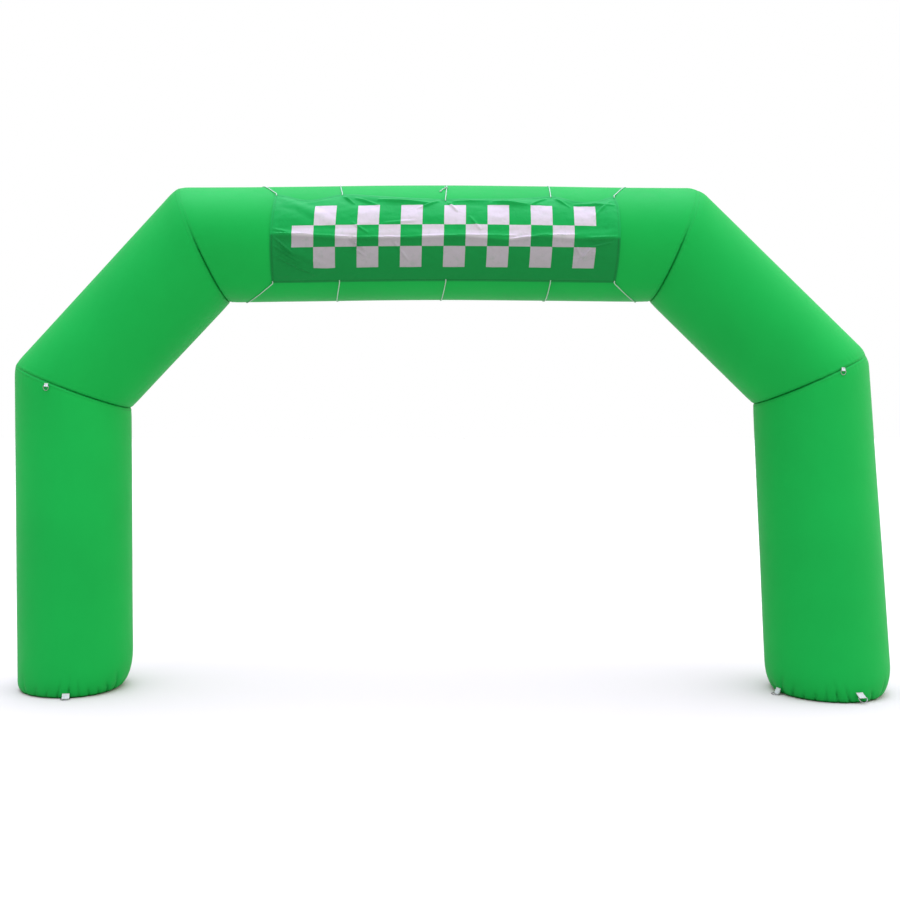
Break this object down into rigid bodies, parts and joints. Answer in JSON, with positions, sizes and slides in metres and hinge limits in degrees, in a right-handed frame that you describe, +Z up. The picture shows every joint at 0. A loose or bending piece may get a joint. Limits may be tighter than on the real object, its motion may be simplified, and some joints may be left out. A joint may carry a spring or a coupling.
{
  "type": "inflatable arch",
  "caption": "Green inflatable entrance arch of sewn nylon tube sections, with a printed banner tied over the front of its beam, webbing tabs and D-rings",
  "frame": {"origin": "On the ground, in the middle of the whole box", "axes": "+Z up, the front with the banner faces -Y, +X to the right of a person who looks at the front"},
  "size_m": [5.9444, 0.9546, 3.4517],
  "materials": {
    "green_nylon": "coated nylon, satin",
    "banner_cloth": "thin printed polyester",
    "white_webbing": "woven webbing",
    "white_cord": "braided polyester cord",
    "plated_steel": "nickel plated"
  },
  "bodies": {
    "root": {"leg_left": "green_nylon", "shoulder_left": "green_nylon", "beam": "green_nylon", "shoulder_right": "green_nylon", "leg_right": "green_nylon", "base_left": "green_nylon", "base_right": "green_nylon", "banner": "banner_cloth", "tie_top_1": "white_cord", "tie_top_2": "white_cord", "tie_top_3": "white_cord", "tie_top_4": "white_cord", "tie_top_5": "white_cord", "tie_bottom_1": "white_cord", "tie_bottom_2": "white_cord", "tie_bottom_3": "white_cord", "tie_bottom_4": "white_cord", "tie_bottom_5": "white_cord", "tie_end": "white_cord", "tie_loop_top_1": "white_webbing", "tie_loop_top_2": "white_webbing", "tie_loop_top_3": "white_webbing", "tie_loop_top_4": "white_webbing", "tie_loop_top_5": "white_webbing", "tie_loop_bottom_1": "white_webbing", "tie_loop_bottom_2": "white_webbing", "tie_loop_bottom_3": "white_webbing", "tie_loop_bottom_4": "white_webbing", "tie_loop_bottom_5": "white_webbing", "knee_tab_left_back": "white_webbing", "knee_tab_left_front": "white_webbing", "knee_tab_right_back": "white_webbing", "knee_tab_right_front": "white_webbing", "tab_left_back": "white_webbing", "tab_left_front": "white_webbing", "tab_right_back": "white_webbing", "tab_right_front": "white_webbing", "tab_right_inner": "white_webbing", "knee_ring_left_back": "plated_steel", "knee_ring_left_front": "plated_steel", "knee_ring_right_back": "plated_steel", "knee_ring_right_front": "plated_steel", "ring_left_back": "plated_steel", "ring_left_front": "plated_steel", "ring_right_back": "plated_steel", "ring_right_front": "plated_steel", "ring_right_inner": "plated_steel"}
  },
  "joints": []
}
